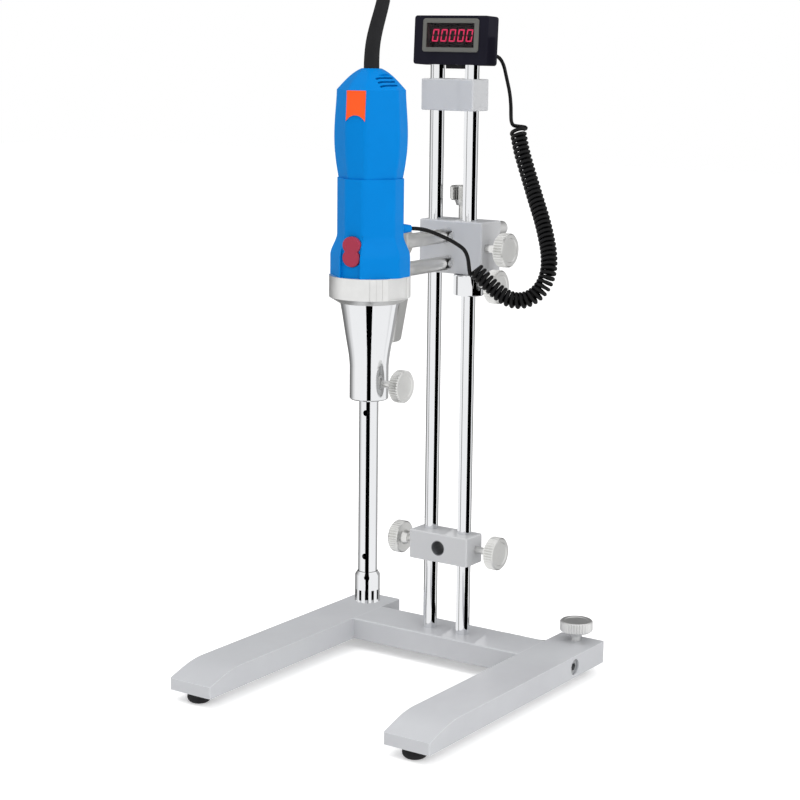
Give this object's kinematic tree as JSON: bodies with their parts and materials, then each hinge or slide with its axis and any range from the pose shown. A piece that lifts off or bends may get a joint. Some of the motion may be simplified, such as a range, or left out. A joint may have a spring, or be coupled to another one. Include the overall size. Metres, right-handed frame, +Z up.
{
  "type": "rotor stator homogenizer",
  "caption": "Benchtop rotor-stator homogenizer: motor with dispersing head on a sliding arm carriage, two-rod H-base stand, speed display, curly lead and mains cord.",
  "frame": {"origin": "on the floor, under the middle of the base, with the stand's rods behind the origin", "axes": "+Z up along the rods and the tool's axis, -Y towards the front of the base where the tool hangs, +X to the right of someone facing the display"},
  "size_m": [0.2599, 0.301, 0.6373],
  "materials": {
    "base_enamel": "satin",
    "block_enamel": "satin",
    "case_enamel": "satin",
    "satin_aluminium": "satin",
    "polished_steel": "polished",
    "zinc_steel": "satin",
    "core_steel": "satin",
    "black_rubber": "matte",
    "black_cable": "satin",
    "blue_plastic": "satin",
    "orange_plastic": "satin",
    "switch_plastic": "satin",
    "black_plastic": "matte",
    "bezel_plastic": "matte",
    "bush_plastic": "matte",
    "tie_plastic": "matte",
    "window_glass": "clear",
    "display_digits": "matte"
  },
  "bodies": {
    "stand": {"left_leg": "base_enamel", "right_leg": "base_enamel", "crossbar": "base_enamel", "crossbar_bolts": "zinc_steel", "rubber_feet": "black_rubber", "rod_bolts": "zinc_steel", "left_rod": "polished_steel", "right_rod": "polished_steel", "upper_block": "block_enamel", "upper_block_set_screws": "zinc_steel", "display_case": "case_enamel", "display_back_cover": "case_enamel", "display_bezel": "bezel_plastic", "display_window": "window_glass", "display_board": "display_digits", "display_bracket": "satin_aluminium", "display_cable_gland": "black_rubber", "curly_cord_top_lead": "black_cable", "curly_cord_coil": "black_cable", "mains_cord": "black_cable", "mains_cord_hank": "black_cable", "hank_tie": "tie_plastic", "mains_plug": "black_plastic"},
    "levelling_foot": {"levelling_screw": "satin_aluminium", "levelling_pad": "black_rubber"},
    "accessory_block": {"lower_block": "block_enamel"},
    "accessory_left_lock": {"lower_left_thumbscrew": "satin_aluminium"},
    "accessory_right_lock": {"lower_right_thumbscrew": "satin_aluminium"},
    "carriage": {"carriage_block": "block_enamel"},
    "carriage_left_lock": {"carriage_left_thumbscrew": "satin_aluminium"},
    "carriage_right_lock": {"carriage_right_thumbscrew": "satin_aluminium"},
    "arm_lock": {"arm_lock_thumbscrew": "satin_aluminium"},
    "safety_stop": {"stop_ring": "polished_steel"},
    "safety_stop_lock": {"stop_ring_thumbscrew": "satin_aluminium"},
    "tool": {"lower_arm": "polished_steel", "upper_arm": "polished_steel", "tool_bracket": "satin_aluminium", "bracket_screws": "zinc_steel", "motor_lower_housing": "blue_plastic", "motor_upper_housing": "blue_plastic", "label_plate": "orange_plastic", "switch_box": "black_plastic", "field_stator": "core_steel", "brush_holders": "black_plastic", "motor_bearings": "zinc_steel", "nose_collar": "satin_aluminium", "cone": "polished_steel", "motor_cable_gland": "black_rubber", "mains_strain_relief": "black_rubber", "curly_cord_bottom_lead": "black_cable"},
    "switch": {"switch_rocker": "switch_plastic"},
    "head_lock": {"cone_thumbscrew": "satin_aluminium"},
    "spindle": {"armature": "core_steel", "cooling_fan": "black_plastic", "spindle_coupling": "black_plastic"},
    "working_head": {"outer_tube": "polished_steel", "stator_head": "polished_steel", "shaft_bushes": "bush_plastic"},
    "rotor_shaft": {"head_shaft": "polished_steel", "rotor": "polished_steel"}
  },
  "joints": [
    {"name": "levelling_turn", "type": "hinge", "parent": "stand", "child": "levelling_foot", "pos_m": [0.1068, 0.1113, 0.028], "axis": [0, 0, 1], "range_deg": [-180, 180]},
    {"name": "accessory_block_slide", "type": "slide", "parent": "stand", "child": "accessory_block", "axis": [0, 0, 1], "range_m": [-0.06, 0.1]},
    {"name": "accessory_left_lock_turn", "type": "hinge", "parent": "accessory_block", "child": "accessory_left_lock", "pos_m": [-0.0295, 0.0695, 0.10525], "axis": [-1, 0, 0], "range_deg": [-270, 0]},
    {"name": "accessory_right_lock_turn", "type": "hinge", "parent": "accessory_block", "child": "accessory_right_lock", "pos_m": [0.0295, 0.0695, 0.10525], "axis": [1, 0, 0], "range_deg": [-270, 0]},
    {"name": "carriage_slide", "type": "slide", "parent": "stand", "child": "carriage", "axis": [0, 0, 1], "range_m": [-0.05, 0.055], "deforming": ["curly_cord_top_lead", "curly_cord_coil", "curly_cord_bottom_lead", "mains_cord"]},
    {"name": "carriage_left_lock_turn", "type": "hinge", "parent": "carriage", "child": "carriage_left_lock", "pos_m": [-0.028, 0.0695, 0.366], "axis": [-1, 0, 0], "range_deg": [-270, 0]},
    {"name": "carriage_right_lock_turn", "type": "hinge", "parent": "carriage", "child": "carriage_right_lock", "pos_m": [0.034, 0.0695, 0.366], "axis": [1, 0, 0], "range_deg": [-270, 0]},
    {"name": "arm_lock_turn", "type": "hinge", "parent": "carriage", "child": "arm_lock", "pos_m": [0, 0.0845, 0.388], "axis": [0, 0, 1], "range_deg": [-270, 0]},
    {"name": "safety_stop_slide", "type": "slide", "parent": "carriage", "child": "safety_stop", "axis": [0, 0, 1], "range_m": [-0.05, 0]},
    {"name": "safety_stop_lock_turn", "type": "hinge", "parent": "safety_stop", "child": "safety_stop_lock", "pos_m": [0.03, 0.0695, 0.3347], "axis": [1, 0, 0], "range_deg": [-270, 0]},
    {"name": "arms_slide", "type": "slide", "parent": "carriage", "child": "tool", "axis": [0, 1, 0], "range_m": [-0.055, 0.06]},
    {"name": "switch_rock", "type": "hinge", "parent": "tool", "child": "switch", "pos_m": [0.00207, -0.07481, 0.3739], "axis": [0.9962, 0.0872, 0], "range_deg": [-4, 4]},
    {"name": "head_lock_turn", "type": "hinge", "parent": "tool", "child": "head_lock", "pos_m": [0.01565, -0.0511, 0.2661], "axis": [1, 0, 0], "range_deg": [-270, 0]},
    {"name": "spindle_spin", "type": "hinge", "parent": "tool", "child": "spindle", "pos_m": [0, -0.0511, 0.4], "axis": [0, 0, 1], "continuous": true},
    {"name": "head_slide", "type": "slide", "parent": "tool", "child": "working_head", "axis": [0, 0, 1], "range_m": [-0.03, 0]},
    {"name": "rotor_spin", "type": "hinge", "parent": "working_head", "child": "rotor_shaft", "pos_m": [0, -0.0511, 0.2], "axis": [0, 0, 1], "continuous": true}
  ],
  "couplings": [
    {"joint": "rotor_spin", "follows": "spindle_spin", "ratio": 1}
  ]
}
